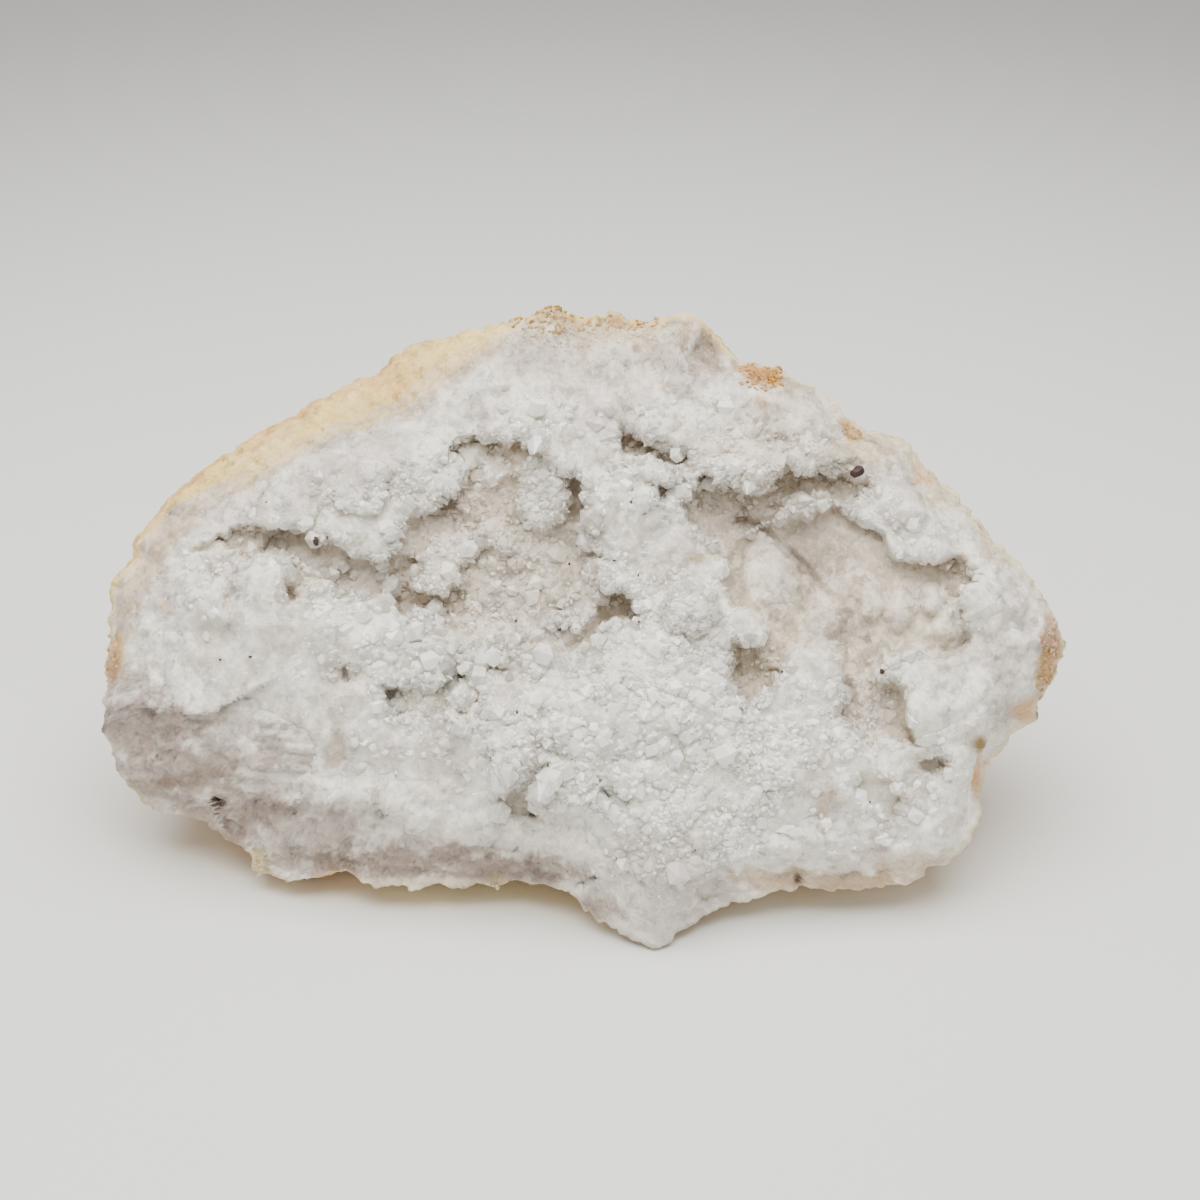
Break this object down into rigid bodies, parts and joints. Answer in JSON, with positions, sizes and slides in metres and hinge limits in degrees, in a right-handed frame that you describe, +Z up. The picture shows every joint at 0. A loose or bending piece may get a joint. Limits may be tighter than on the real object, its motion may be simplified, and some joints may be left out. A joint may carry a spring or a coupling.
{
  "type": "clear quartz geode",
  "caption": "Broken half of a clear quartz geode: a cream rind and a milky quartz wall round a hollow face lined with small clear crystals, resting on the rind.",
  "frame": {"origin": "on the surface that the geode rests on, in the middle of its length and depth", "axes": "+X to the right along the geode's length, +Z up, and the broken face looks towards -Y and up, 33 degrees above the horizon"},
  "size_m": [0.167, 0.0835, 0.0885],
  "materials": {
    "rind": "rough, chalky cream to tan rind over white sugary quartz",
    "quartz_crystals": "glossy, colourless to milky crystal faces"
  },
  "bodies": {
    "root": {"rock_shell": "rind", "crystal_crust": "quartz_crystals"}
  },
  "joints": []
}
